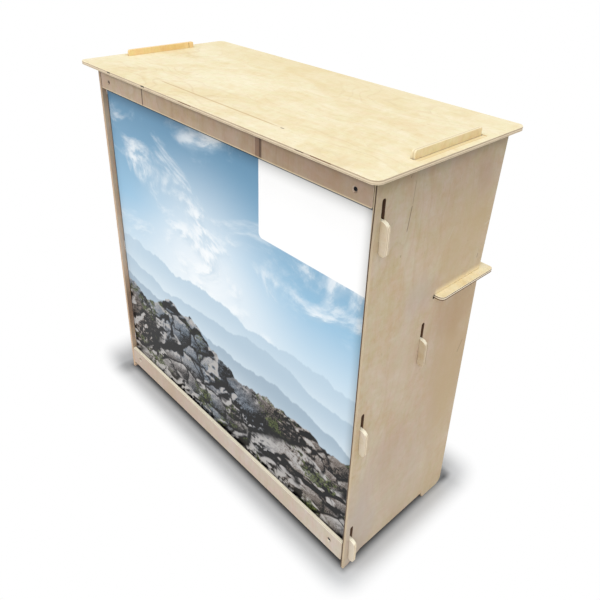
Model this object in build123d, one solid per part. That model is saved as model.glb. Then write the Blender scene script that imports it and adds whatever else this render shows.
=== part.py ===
from build123d import *
import math
import os

# Knock-down plywood counter: two side panels, a front board hooked between
# them, a printed sheet held behind two rails, a shelf, a cross board and a
# lift-off top. Lengths are millimetres. X runs along the counter, Y from its
# front to its open back, Z up. The origin is on the floor under the middle
# of the top.

# Stock and fits
ply = 9.0                      # thickness of every plywood board
edge_ease = 0.5                # bevel sanded on the boards' long edges
board_play = 0.5               # board end to side panel, each side
slot_play = 1.0                # slot width over the board's thickness
hook_gap = 0.5                 # hook lip to the panel's outer face
cut_overrun = 5.0              # how far a cutter runs past a face

# Top
top_width = 1050.0
top_depth = 467.0
top_corner_r = 18.0
counter_height = 1040.0        # floor to the top's upper face
side_overhang = 25.0           # top past the side panels' outer faces
front_overhang = 36.5          # top past the side panels' front edges
top_slot_lead = 3.5            # slot end in front of the tab
top_slot_tail = 5.0            # slot end behind the tab
top_slot_play = 0.4            # slot's inner side to the tab's inner face
top_slot_corner_r = 4.0        # also the recess's corners
top_recess_width = 20.5        # shallow recess over the slot, outward beside the tab
top_recess_depth = 1.0

# Side panels
panel_depth = 392.0            # front edge to rear edge, below the shelf
panel_flare = 22.0             # how much deeper the panel is under the top
foot_height = 20.0             # lower edge between the feet, above the floor
front_foot = 15.0              # flat of the front foot
front_foot_ramp = 44.0         # slope from that flat up to the lower edge
rear_foot = 80.0               # rear foot, ramp end to rear edge
rear_foot_ramp = 8.0
foot_corner_r = 20.0           # round at the foot's rear corner
foot_ramp_r = 8.0              # rounds where the lower edge meets the feet
tab_setback = 92.0             # panel's front edge to its top tab
tab_length = 209.5
tab_rise = 16.0                # tab above the top's upper face
tab_front_r = 6.0
tab_rear_r = 3.0

# Hooks and their slots
hook_neck = 42.0               # height of a hook where it passes the slot
hook_lip = 27.0                # how far a lip hangs below its slot
hook_reach = 17.0              # hook past the panel's outer face
hook_top_r = 15.0
hook_lip_r = 7.5
hook_slot_length = 84.0
low_hook_rise = 53.0           # floor to the lowest slot's lower end
middle_hook_rise = 406.0       # floor to the middle slot's lower end
high_hook_drop = 129.0         # top's underside to the highest slot's lower end
cross_hook_rise = 556.0        # floor to the cross board slot's lower end

# Front board, printed sheet and rails
front_board_setback = 14.0     # panels' front edges to the board's front face
floor_gap = 21.0               # floor to the front board and the bottom rail
sheet_thickness = 1.0
sheet_side_gap = 2.5           # sheet edge to side panel
sheet_tuck = 12.0              # sheet held behind each rail
top_rail_height = 63.5
bottom_rail_height = 60.5
rail_end_gap = 1.5
rail_corner_r = 4.0

# Rail fasteners
screw_inset = 42.5             # rail end to screw axis
top_screw_rise = 22.5          # top rail's lower edge to its screws
bottom_screw_rise = 33.0       # bottom rail's lower edge to its screws
screw_r = 2.5
screw_head_r = 4.6
screw_hole_r = 2.8
screw_seat_gap = 0.2           # head above the countersink's wall, along the axis
screw_tip = 1.5                # thread past the nut
sink_r = 7.0                   # mouth of the countersink
socket_width = 3.0             # hexagon across its flats
socket_depth = 1.6
spacer_r = 7.5
nut_width = 8.0                # hexagon across its flats
nut_thickness = 4.0
nut_bore_r = 2.6
nut_chamfer = 0.5

# Shelf and cross board
shelf_rise = 691.0             # floor to the shelf's underside
shelf_tab_setback = 223.0      # panels' front edges to the shelf's tabs
shelf_slot_lead = 6.0          # slot end in front of the tab
shelf_reach = 20.0             # tab past the panel's outer face
shelf_tail = 29.0              # shelf past the panels' rear edges
shelf_front_r = 13.0
shelf_rear_r = 10.0
cross_setback = 190.0          # panels' front edges to the cross board
cross_rise = 42.0              # board above its hooks
cross_drop = 45.0              # board below its slots

# Places worked out from the sizes
body_half = top_width / 2 - side_overhang
inner_half = body_half - ply
front_y = front_overhang - top_depth / 2
underside = counter_height - ply
board_y = front_y + front_board_setback
rail_half = inner_half - rail_end_gap
screw_recess = sink_r - screw_head_r - screw_seat_gap
screw_x = rail_half - screw_inset
top_rail_base = underside - top_rail_height
slot_width = ply + slot_play
shelf_back_y = front_y + panel_depth + shelf_tail
cross_y = front_y + cross_setback
screw_places = [
    (side * screw_x, height)
    for side in (-1, 1)
    for height in (floor_gap + bottom_screw_rise, top_rail_base + top_screw_rise)
]


def outline(corners):
    """Face inside a closed outline of (x, y, corner radius)."""
    points = [(x, y) for x, y, _ in corners]
    radii = [radius for _, _, radius in corners]
    return make_face(FilletPolyline(*points, radius=radii, close=True).edges())


def upright(face, y):
    """Board cut from a face drawn in X and Z, with its front face at y."""
    return extrude(Plane.XZ.offset(-y) * face, -ply)


def eased(board, axis):
    """Board with a bevel sanded round the outlines of its two faces."""
    faces = board.faces().filter_by(axis).sort_by(axis)
    return chamfer(faces[0].outer_wire().edges() + faces[-1].outer_wire().edges(), edge_ease)


def hook_corners(board_edge, slot_base):
    """Corners of one hook, from its neck's underside round to its top."""
    lip_x = body_half + hook_gap
    tip_x = body_half + hook_reach
    return [
        (board_edge, slot_base, 0),
        (lip_x, slot_base, 0),
        (lip_x, slot_base - hook_lip, hook_lip_r),
        (tip_x, slot_base - hook_lip, hook_lip_r),
        (tip_x, slot_base + hook_neck, hook_top_r),
        (board_edge, slot_base + hook_neck, 0),
    ]


def hooked_board(base, crest, slot_bases, y):
    """Upright board between the side panels, with hooks over both of them."""
    edge = inner_half - board_play
    right = [(edge, base, 0)]
    for slot_base in slot_bases:
        right += hook_corners(edge, slot_base)
    right.append((edge, crest, 0))
    left = [(-x, z, radius) for x, z, radius in reversed(right)]
    return eased(upright(outline(right + left), y), Axis.Y)


def hook_slot(setback, slot_base):
    """Slot in a side panel for a hook: round above, square where it seats."""
    middle = front_y + setback + ply / 2
    half = slot_width / 2
    crown = slot_base + hook_slot_length
    corners = [
        (middle - half, slot_base, 0),
        (middle + half, slot_base, 0),
        (middle + half, crown - half, 0),
        (middle - half, crown - half, 0),
    ]
    return outline(corners) + Pos(middle, crown - half) * Circle(half)


def side_panel():
    """Right side panel with its feet, top tab, shelf slot and hook slots."""
    rear = front_y + panel_depth
    rear_top = rear + panel_flare
    tab_front = front_y + tab_setback
    tab_rear = tab_front + tab_length
    tab_crest = counter_height + tab_rise
    ramp_front = front_y + front_foot
    rear_foot_front = rear - rear_foot
    slot_front = front_y + shelf_tab_setback - shelf_slot_lead
    slot_crest = shelf_rise + slot_width
    corners = [
        (front_y, 0, 0),
        (ramp_front, 0, foot_ramp_r),
        (ramp_front + front_foot_ramp, foot_height, foot_ramp_r),
        (rear_foot_front - rear_foot_ramp, foot_height, foot_ramp_r / 2),
        (rear_foot_front, 0, foot_ramp_r / 4),
        (rear, 0, foot_corner_r),
        (rear, shelf_rise, 0),
        (slot_front, shelf_rise, 0),
        (slot_front, slot_crest, 0),
        (rear, slot_crest, 0),
        (rear_top, underside, 0),
        (tab_rear, underside, 0),
        (tab_rear, tab_crest, tab_rear_r),
        (tab_front, tab_crest, tab_front_r),
        (tab_front, underside, 0),
        (front_y, underside, 0),
    ]
    face = outline(corners)
    for slot_base in front_slot_bases():
        face -= hook_slot(front_board_setback, slot_base)
    face -= hook_slot(cross_setback, cross_hook_rise)
    return eased(extrude(Plane.YZ.offset(inner_half) * face, ply), Axis.X)


def front_slot_bases():
    """Lower ends of the front board's three slots."""
    return low_hook_rise, middle_hook_rise, underside - high_hook_drop


def top_panel():
    """Lift-off top with a slot for each side panel's tab, in a shallow recess."""
    face = RectangleRounded(top_width, top_depth, top_corner_r)
    for side in (-1, 1):
        face -= top_opening(slot_width, side)
    board = eased(extrude(Plane.XY.offset(underside) * face, ply), Axis.Z)
    floor = Plane.XY.offset(counter_height - top_recess_depth)
    for side in (-1, 1):
        board -= extrude(floor * top_opening(top_recess_width, side), cut_overrun)
    return board


def top_opening(width, side):
    """Rounded opening along a tab, drawn outward from the tab's inner face."""
    x = inner_half - top_slot_play + width / 2
    start = front_y + tab_setback - top_slot_lead
    length = top_slot_lead + tab_length + top_slot_tail
    shape = RectangleRounded(width, length, top_slot_corner_r)
    return Pos(side * x, start + length / 2) * shape


def front_board():
    """Full board behind the sheet, drilled for the rail screws."""
    board = hooked_board(floor_gap, underside, front_slot_bases(), board_y)
    for x, z in screw_places:
        board -= drill(x, z, board_y)
    return board


def drill(x, z, y):
    """Cutter for a screw hole through a board whose front face is at y."""
    return rod(x, z, y - cut_overrun, ply + 2 * cut_overrun, screw_hole_r)


def rod(x, z, y, length, radius):
    """Round bar along Y from y."""
    return extrude(Plane.XZ.offset(-y) * Pos(x, z) * Circle(radius), -length)


def printed_sheet():
    """Thin printed sheet on the front board, its edges behind the rails."""
    base = floor_gap + bottom_rail_height - sheet_tuck
    crest = top_rail_base + sheet_tuck
    half = inner_half - sheet_side_gap
    corners = [(-half, base, 0), (half, base, 0), (half, crest, 0), (-half, crest, 0)]
    face = Plane.XZ.offset(-board_y) * outline(corners)
    return extrude(face, sheet_thickness)


def rail(base, height, screw_height):
    """Front rail with countersunk holes near its ends."""
    corners = [
        (-rail_half, base, rail_corner_r),
        (rail_half, base, rail_corner_r),
        (rail_half, base + height, rail_corner_r),
        (-rail_half, base + height, rail_corner_r),
    ]
    board = eased(upright(outline(corners), front_y), Axis.Y)
    for side in (-1, 1):
        x = side * screw_x
        board -= drill(x, screw_height, front_y)
        board -= lathe(x, screw_height, countersink_profile())
    return board


def lathe(x, z, profile):
    """Profile in (radius, depth behind the rail's face) turned about a screw axis."""
    axis_plane = Plane(origin=(x, front_y, z), x_dir=(1, 0, 0), z_dir=(0, 0, 1))
    turned = Axis((x, front_y, z), (0, 1, 0))
    return revolve(axis_plane * make_face(Polyline(*profile, close=True)), turned)


def countersink_profile():
    """Cone at 45 degrees from the rail's face down to the screw hole."""
    return [
        (0, -cut_overrun),
        (sink_r, -cut_overrun),
        (sink_r, 0),
        (screw_hole_r, sink_r - screw_hole_r),
        (0, sink_r - screw_hole_r),
    ]


def rail_screw(x, z):
    """Countersunk screw with a hexagon socket, from the rail to past its nut."""
    tip = front_board_setback + ply + nut_thickness + screw_tip
    neck = screw_recess + screw_head_r - screw_r
    profile = [
        (0, screw_recess),
        (screw_head_r, screw_recess),
        (screw_r, neck),
        (screw_r, tip - screw_tip / 2),
        (screw_r - screw_tip / 2, tip),
        (0, tip),
    ]
    socket_face = Plane.XZ.offset(-(front_y + screw_recess)) * Pos(x, z)
    socket = extrude(socket_face * hexagon(socket_width), -socket_depth)
    return lathe(x, z, profile) - socket


def hexagon(across_flats):
    """Regular hexagon by its width across the flats."""
    return RegularPolygon(across_flats / math.sqrt(3), 6)


def rail_spacer(x, z):
    """Round spacer that keeps a rail off the front board."""
    length = front_board_setback - ply
    y = front_y + ply
    ring = rod(x, z, y, length, spacer_r)
    return ring - rod(x, z, y - cut_overrun, length + 2 * cut_overrun, screw_hole_r)


def rail_nut(x, z):
    """Hexagon nut against the front board's back, its outer corners turned off."""
    y = board_y + ply
    nut_plane = Plane.XZ.offset(-y) * Pos(x, z)
    body = extrude(nut_plane * hexagon(nut_width), -nut_thickness)
    blank_r = nut_width / math.sqrt(3)
    blank = rod(x, z, y, nut_thickness, blank_r)
    body &= chamfer(blank.edges().sort_by(Axis.Y)[-1], nut_chamfer)
    return body - rod(x, z, y - cut_overrun, nut_thickness + 2 * cut_overrun, nut_bore_r)


def shelf():
    """Shelf from the front board's back, with a tab through each side panel."""
    front = board_y + ply
    tab_front = front_y + shelf_tab_setback
    inner = inner_half - board_play
    outer = body_half + shelf_reach
    right = [
        (inner, front, 0),
        (inner, tab_front, 0),
        (outer, tab_front, shelf_front_r),
        (outer, shelf_back_y, shelf_rear_r),
    ]
    left = [(-x, y, radius) for x, y, radius in reversed(right)]
    board = extrude(Plane.XY.offset(shelf_rise) * outline(right + left), ply)
    return eased(board, Axis.Z)


def cross_board():
    """Stretcher under the shelf, hooked over both side panels."""
    base = cross_hook_rise - cross_drop
    crest = cross_hook_rise + hook_neck + cross_rise
    return hooked_board(base, crest, [cross_hook_rise], cross_y)


def save(name, *solids):
    """Write one piece, or a group of like pieces, as one file."""
    group = solids[0] if len(solids) == 1 else Compound(children=list(solids))
    group.label = name
    export_step(group, os.path.join("parts", name + ".step"))


def main():
    os.makedirs("parts", exist_ok=True)
    right_panel = side_panel()
    save("right_side_panel", right_panel)
    save("left_side_panel", mirror(right_panel, about=Plane.YZ))
    save("top_panel", top_panel())
    save("front_board", front_board())
    save("printed_sheet", printed_sheet())
    save("top_rail", rail(top_rail_base, top_rail_height, top_rail_base + top_screw_rise))
    save("bottom_rail", rail(floor_gap, bottom_rail_height, floor_gap + bottom_screw_rise))
    save("shelf", shelf())
    save("cross_board", cross_board())
    save("rail_screws", *[rail_screw(x, z) for x, z in screw_places])
    save("rail_spacers", *[rail_spacer(x, z) for x, z in screw_places])
    save("rail_nuts", *[rail_nut(x, z) for x, z in screw_places])


main()
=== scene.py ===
import math

import bpy
import numpy as np
from bpy.props import FloatProperty, FloatVectorProperty, PointerProperty
from mathutils import Matrix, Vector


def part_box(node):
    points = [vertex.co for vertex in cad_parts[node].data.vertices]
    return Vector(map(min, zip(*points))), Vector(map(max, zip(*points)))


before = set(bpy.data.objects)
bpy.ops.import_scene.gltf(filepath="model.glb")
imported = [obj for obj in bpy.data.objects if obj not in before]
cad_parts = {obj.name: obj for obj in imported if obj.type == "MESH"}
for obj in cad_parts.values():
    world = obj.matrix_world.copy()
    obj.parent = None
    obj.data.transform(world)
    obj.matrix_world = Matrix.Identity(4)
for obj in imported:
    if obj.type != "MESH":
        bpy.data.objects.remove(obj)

bl_info = {
    "name": "Plywood counter",
    "version": (1, 0, 0),
    "blender": (4, 5, 0),
    "location": "3D View > Sidebar > Counter",
    "description": "Finishes the boards, the print and the fixings of a knock-down plywood counter",
    "category": "Object",
}

MM = 0.001
X, Y, Z = 0, 1, 2
WHITE = (1.0, 1.0, 1.0)


def srgb(red, green, blue):
    """A colour as it is seen, from 0 to 255, turned into scene-linear numbers:
    c / 12.92 below 0.04, and ((c + 0.055) / 1.055) to the power 2.4 above it."""
    seen = np.array((red, green, blue)) / 255
    linear = np.where(seen <= 0.04045, seen / 12.92, ((seen + 0.055) / 1.055) ** 2.4)
    return tuple(float(c) for c in linear)


def colour_property(name, description, seen):
    """A colour that a user can change, with its default given as it is seen."""
    return FloatVectorProperty(
        name=name,
        description=description,
        subtype="COLOR",
        size=3,
        min=0.0,
        max=1.0,
        default=srgb(*seen),
    )


def share_property(name, description, default):
    """A share from 0 to 1 that a user can change."""
    return FloatProperty(
        name=name, description=description, subtype="FACTOR", min=0.0, max=1.0, default=default
    )


class CounterPlywood(bpy.types.PropertyGroup):
    """Colours and strengths of the birch plywood's finish."""

    veneer_pale: colour_property("Pale veneer", "Early wood of the face veneer", (242, 233, 205))
    veneer_mid: colour_property("Veneer", "Main colour of the face veneer", (235, 221, 184))
    veneer_warm: colour_property("Warm veneer", "Yellower patches of the face veneer", (227, 206, 158))
    late_wood: colour_property("Late wood", "Thin lines where a year ring ends", (202, 171, 122))
    heartwood: colour_property("Heartwood", "Pinker zones of the veneer", (213, 180, 157))
    brown_wood: colour_property("Brown wood", "Browner zones of the veneer", (204, 169, 125))
    edge_light: colour_property("Long grain edge", "Layers cut along their grain", (244, 232, 207))
    grey_wood: colour_property("Grey wood", "Greyer zones of the veneer", (214, 205, 196))
    edge_dark: colour_property("End grain edge", "Layers cut across their grain", (150, 120, 90))
    # Painted shade: this brown stands for the shade in the slots, in the gap at the top rail's left
    # end and on the left panel's strip beside the low print.
    painted_shade_brown: colour_property("Cutter mark", "Slot walls browned by the cutter", (116, 86, 70))
    glue: colour_property("Glue line", "Thin lines between the layers", (96, 72, 52))
    # Real gaps in the inner layers, and painted shade: the same near-black fills the walls of the
    # shelf's slots and the gaps beside the front board's ends.
    void: colour_property("Void", "Gaps in the inner layers", (24, 17, 13))
    # Painted light: paler wood just above the shelf's tabs, and a painted highlight along the top
    # rail's lower edge.
    glow: colour_property("Glow", "Wood lit by the board below it", (252, 234, 192))
    # Painted shade in the countersinks round the screws.
    painted_hole_shade: colour_property("Hole wall", "Countersunk walls round the screws", (184, 164, 148))
    # Painted light: paler edges where they face up, as if lit from above.
    painted_top_light: colour_property("Crown", "Edges that face up", (253, 248, 226))
    figure: share_property("Figure", "Strength of the rotary-cut figure", 0.5)
    fibre: share_property("Fibre", "Strength of the fine fibres", 0.5)
    roughness: share_property("Roughness", "Roughness of the bare wood", 0.56)


class CounterPrint(bpy.types.PropertyGroup):
    """Colours of the printed sheet."""

    sky_high: colour_property("High sky", "Top of the printed sky", (99, 143, 175))
    sky_mid: colour_property("Middle sky", "Middle of the printed sky", (154, 196, 224))
    sky_low: colour_property("Low sky", "Pale sky above the hills", (236, 245, 250))
    cloud: colour_property("Cloud", "Printed clouds", (252, 254, 255))
    far_hill: colour_property("Far hill", "Palest ridge", (188, 210, 226))
    near_hill: colour_property("Near hill", "Darkest ridge", (124, 143, 160))
    stone_light: colour_property("Light stone", "Lit side of the printed stones", (180, 177, 175))
    stone_mid: colour_property("Stone", "Main colour of the printed stones", (118, 108, 101))
    stone_blue: colour_property("Blue stone", "Cooler printed stones", (108, 120, 133))
    stone_dark: colour_property("Dark stone", "Shaded side of the printed stones", (12, 12, 14))
    moss: colour_property("Moss", "Green growth between the printed stones", (104, 116, 62))
    shade: colour_property("Shade", "Dark line where the sheet meets the wood", (36, 44, 54))
    blank: colour_property("Blank field", "Bare white field of the print", (255, 255, 255))
    gloss: share_property("Gloss roughness", "Roughness of the print's film", 0.36)


class CounterFixings(bpy.types.PropertyGroup):
    """Colours of the screws, the spacers and the nuts."""

    black_oxide: colour_property("Black steel", "Blackened steel of the screws", (34, 33, 34))
    zinc: colour_property("Zinc", "Zinc plate of the nuts", (196, 200, 206))
    nylon: colour_property("Nylon", "Black nylon of the spacers", (24, 24, 25))


class CounterStage(bpy.types.PropertyGroup):
    """Floor, lamps and camera."""

    floor_half: FloatProperty(
        name="Floor half width", description="Half the side of the floor", unit="LENGTH", default=30.0
    )
    floor_colour: colour_property("Floor", "Plain pale floor", (231, 231, 231))
    shadow_reach: FloatProperty(
        name="Shadow reach",
        description="Distance in front of the counter at which the floor is plain white",
        unit="LENGTH",
        default=0.085,
    )
    # Width of the floor's painted contact shadow along the walls.
    contact_reach: FloatProperty(
        name="Contact reach", description="Width of the contact line", unit="LENGTH", default=0.021
    )
    sky_level: FloatProperty(name="Sky level", description="Strength of the even light", default=0.64)
    lamp_level: FloatProperty(
        name="Lamp level", description="Strength of the soft light from above", default=1.83
    )
    lamp_angle: FloatProperty(
        name="Lamp size",
        description="Apparent size of the soft light",
        subtype="ANGLE",
        default=math.radians(75),
    )
    focal_length: FloatProperty(
        name="Focal length", description="Lens of the camera, in millimetres", default=37.37
    )


class Tree:
    """The node tree of a material or of the world. Every method adds one step and returns its
    output; a value given to it may be a number, a colour or another output.

    FLOAT_MIX and COLOUR_MIX are the two inputs and the output of a Mix node for each kind."""

    FLOAT_MIX = (2, 3, 0)
    COLOUR_MIX = (6, 7, 2)

    def __init__(self, owner):
        owner.use_nodes = True
        self.owner = owner
        self.nodes = owner.node_tree.nodes
        self.links = owner.node_tree.links
        self.nodes.clear()

    def put(self, socket, value):
        """Links a socket, or sets a plain number or colour on it."""
        if isinstance(value, bpy.types.NodeSocket):
            self.links.new(value, socket)
        elif hasattr(value, "__len__") and len(value) == 3 and socket.type == "RGBA":
            socket.default_value = (*value, 1.0)
        else:
            socket.default_value = value

    def node(self, kind, inputs=(), **settings):
        """A node of one kind, with its settings and with what goes into its inputs."""
        made = self.nodes.new("ShaderNode" + kind)
        for key, value in settings.items():
            setattr(made, key, value)
        for key, value in dict(inputs).items():
            self.put(made.inputs[key], value)
        return made

    def place(self):
        """Object coordinates, split into X, Y and Z."""
        coordinates = self.node("TexCoord").outputs["Object"]
        return self.node("SeparateXYZ", {0: coordinates}).outputs

    def math(self, operation, *values, clamp=False):
        """One step of arithmetic on one or two values."""
        made = self.node("Math", dict(enumerate(values)), operation=operation, use_clamp=clamp)
        return made.outputs[0]

    def plus(self, *values):
        """The sum of all the values."""
        total = values[0]
        for value in values[1:]:
            total = self.math("ADD", total, value)
        return total

    def minus(self, a, b):
        """a less b."""
        return self.math("SUBTRACT", a, b)

    def times(self, a, b):
        """a times b."""
        return self.math("MULTIPLY", a, b)

    def larger(self, a, b):
        """The larger of two values."""
        return self.math("MAXIMUM", a, b)

    def positive(self, value):
        """The value where it is above zero, and zero elsewhere."""
        return self.larger(value, 0.0)

    def absolute(self, value):
        """The value without its sign."""
        return self.math("ABSOLUTE", value)

    def vector(self, x, y, z=0.0):
        """Three numbers as one vector."""
        return self.node("CombineXYZ", {0: x, 1: y, 2: z}).outputs[0]

    def scaled(self, values, sizes):
        """Three values, each times its own number, as one vector."""
        return self.vector(*(self.times(value, size) for value, size in zip(values, sizes)))

    def spread(self, a, per_a, b, per_b, c=0.0):
        """A pattern's vector: a and b in repeats per metre, and c as it is."""
        return self.vector(self.times(a, per_a), self.times(b, per_b), c)

    def swing(self, value, amount):
        """A noise from 0 to 1 as a swing about zero: value less a half, times the amount."""
        return self.times(self.plus(value, -0.5), amount)

    def length(self, a, b):
        """The root of a a + b b."""
        return self.math("SQRT", self.plus(self.times(a, a), self.times(b, b)))

    def smooth(self, value, low, high, start=0.0, end=1.0):
        """Runs smoothly from start to end as value goes from low to high."""
        inputs = {"Value": value, "From Min": low, "From Max": high, "To Min": start, "To Max": end}
        return self.node("MapRange", inputs, interpolation_type="SMOOTHSTEP").outputs[0]

    def noise(self, vector, detail=2.0, roughness=0.5, distortion=0.0):
        """Cloud noise from 0 to 1; the vector already holds the pattern's scale."""
        inputs = {"Vector": vector, "Scale": 1.0, "Detail": detail}
        inputs.update({"Roughness": roughness, "Distortion": distortion})
        return self.node("TexNoise", inputs).outputs[0]

    def cells(self, vector, feature="F1"):
        """The outputs of a cell pattern; the vector already holds the pattern's scale."""
        return self.node("TexVoronoi", {"Vector": vector, "Scale": 1.0}, feature=feature).outputs

    def mix(self, share, a, b):
        """The number a (1 - share) + b share."""
        low, high, out = self.FLOAT_MIX
        return self.node("Mix", {0: share, low: a, high: b}, data_type="FLOAT").outputs[out]

    def blend(self, share, a, b, how="MIX"):
        """The colour that goes from a to b as share goes from 0 to 1; with how set to
        MULTIPLY it goes from a to a times b."""
        low, high, out = self.COLOUR_MIX
        made = self.node("Mix", {0: share, low: a, high: b}, data_type="RGBA", blend_type=how)
        return made.outputs[out]

    def dye(self, colour, factor):
        """A colour times another colour or a number."""
        return self.blend(1.0, colour, factor, "MULTIPLY")

    def grey(self, colour):
        """A colour's brightness."""
        return self.node("RGBToBW", {0: colour}).outputs[0]

    def ramp(self, value, stops):
        """A colour ramp; stops holds pairs of place and colour."""
        made = self.node("ValToRGB", {0: value})
        elements = made.color_ramp.elements
        while len(elements) < len(stops):
            elements.new(1.0)
        for element, (place, colour) in zip(elements, stops):
            element.position = place
            element.color = (*colour, 1.0)
        return made.outputs[0]

    def bump(self, height, distance, strength=1.0):
        """A surface direction that leans with the height's slope."""
        inputs = {"Height": height, "Distance": distance, "Strength": strength}
        return self.node("Bump", inputs).outputs[0]

    def principled(self, **values):
        """The surface shader and the material's output. Names are the sockets' own,
        with spaces as underscores."""
        shader = self.node("BsdfPrincipled")
        for key, value in values.items():
            self.put(shader.inputs[key.replace("_", " ")], value)
        self.node("OutputMaterial", {0: shader.outputs[0]})
        return self.owner


def scratch(tree, across, along, start, end, width):
    """1 on a thin line between two points of a board's face, in millimetres, and 0 beside it.
    With d the unit vector from start to end, a point p lies on the line where (p - start) . d
    is between 0 and the length and the distance from the line is under width. A slow noise
    makes the line wander."""
    (u0, v0), (u1, v1) = ([value * MM for value in point] for point in (start, end))
    length = math.hypot(u1 - u0, v1 - v0)
    du, dv = (u1 - u0) / length, (v1 - v0) / length
    u, v = tree.plus(across, -u0), tree.plus(along, -v0)
    run = tree.plus(tree.times(u, du), tree.times(v, dv))
    wander = tree.noise(tree.vector(tree.times(run, 60.0), u0, v0))
    side = tree.plus(tree.times(u, -dv), tree.times(v, du), tree.swing(wander, 1.6 * MM))
    near = tree.smooth(tree.absolute(side), width * MM, width * MM * 0.3)
    inside = tree.times(tree.smooth(run, 0.0, length * 0.06), tree.smooth(run, length, length * 0.9))
    return tree.times(near, inside)


BLUSH_PINK = (1.03, 0.97, 1.0)
BLUSH_GREEN = (0.975, 1.005, 0.94)


def rotary_veneer(tree, u, v, offset, look):
    """The face of a board, with u across the grain and v along it, in metres.

    A slow noise is the depth of the knife's cut. Its contour lines are the year rings: a ring
    darkens towards its end and stops in a thin late wood line, in the places that a second
    slow noise allows. Every ring has its own tone. Fibres and streaks are noises stretched
    along the grain, silk is one that runs slantwise over it, and patches and mottle are
    broad and fine noises. All of them swing the shade about 0.55, which a ramp turns into
    colour. Pinker wood lies in a few broad zones, blush shifts the hue between pink and
    green, flecks are short dark dashes, and pin knots are small discs in a few cells of a
    cell pattern. The surface's relief is the fibres, less the lines and the flecks."""
    wood = bpy.context.scene.counter_plywood

    def pattern(per_u, per_v, shift, *settings):
        """A noise with its repeats per metre across and along the grain."""
        return tree.noise(tree.spread(u, per_u, v, per_v, offset + shift), *settings)

    sway = pattern(7.5, 3.6, 0.0, 3.0, 0.55)
    cut = pattern(3.8, 1.35 * look["swirl"], 5.0, 1.5, 0.45, 0.35 * look["swirl"])
    level = tree.plus(tree.times(cut, 19.0), tree.times(sway, 4.4), tree.times(u, 5.0))
    ring = tree.math("FRACT", level)
    line = tree.times(tree.smooth(ring, 0.66, 0.95), tree.smooth(ring, 1.0, 0.96))
    presence = pattern(6.0, 2.4, 9.0, 2.0)
    line = tree.times(line, tree.smooth(presence, 0.36, 0.66))
    band = tree.noise(tree.vector(tree.times(tree.math("FLOOR", level), 3.3), offset), 1.0)
    coarse = pattern(240.0, 7.0, 0.0, 3.0, 0.6)
    fine = pattern(1100.0, 26.0, 0.0, 2.0, 0.6)
    streak = pattern(58.0, 1.3, 3.0, 3.0, 0.6)
    slant = tree.plus(tree.times(u, 34.0), tree.times(v, 20.0))
    silk = tree.noise(tree.vector(slant, tree.times(v, 62.0), offset), 3.0, 0.62, 0.5)
    cloud = pattern(9.5, 4.6, 2.0, 4.0, 0.6, 0.9)
    patch = tree.smooth(cloud, 0.36, 0.64)
    mottle = pattern(62.0, 46.0, 7.0, 3.0, 0.6)
    blush = pattern(40.0, 30.0, 17.0, 2.0, 0.6)
    dashes = pattern(620.0, 90.0, 0.0, 1.0)
    fleck = tree.smooth(dashes, 0.68, 0.78)
    shade = tree.plus(
        0.55,
        tree.swing(band, 0.5 * wood.figure * look["figure"]),
        tree.swing(coarse, 0.9 * wood.fibre),
        tree.swing(fine, 0.8 * wood.fibre),
        tree.swing(streak, look["streak"]),
        tree.swing(silk, look["silk"]),
        tree.swing(patch, look["cloud"]),
        tree.swing(mottle, look["mottle"]),
    )
    stops = ((0.0, wood.veneer_warm), (0.52, wood.veneer_mid), (1.0, wood.veneer_pale))
    colour = tree.ramp(shade, stops)
    line_share = tree.times(line, 0.9 * wood.figure * look["lines"])
    colour = tree.blend(line_share, colour, wood.late_wood)
    zone = pattern(4.2, 1.9, 14.0, 3.0, 0.55)
    colour = tree.blend(tree.smooth(zone, 0.42, 0.70, 0.0, look["heart"]), colour, wood.heartwood)
    hue = tree.ramp(tree.smooth(blush, 0.3, 0.7), ((0.0, BLUSH_PINK), (1.0, BLUSH_GREEN)))
    colour = tree.blend(look["blush"], colour, hue, "MULTIPLY")
    colour = tree.blend(tree.times(fleck, 0.30), colour, wood.edge_dark)
    cells = tree.cells(tree.spread(u, 13.0, v, 8.0, offset))
    chosen = tree.smooth(tree.grey(cells["Color"]), 0.66, 0.70)
    knot = tree.times(tree.smooth(cells["Distance"], 0.034, 0.012), chosen)
    colour = tree.blend(tree.times(knot, 0.6), colour, wood.edge_dark)
    relief = tree.plus(
        tree.times(coarse, 0.5), tree.times(fine, 0.5), tree.times(line, -0.3), tree.times(fleck, -0.8)
    )
    return colour, relief


LAYER_BOUNDS = (0.13, 0.35, 0.65, 0.87)
LAYER_BLUR = 0.014


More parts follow.
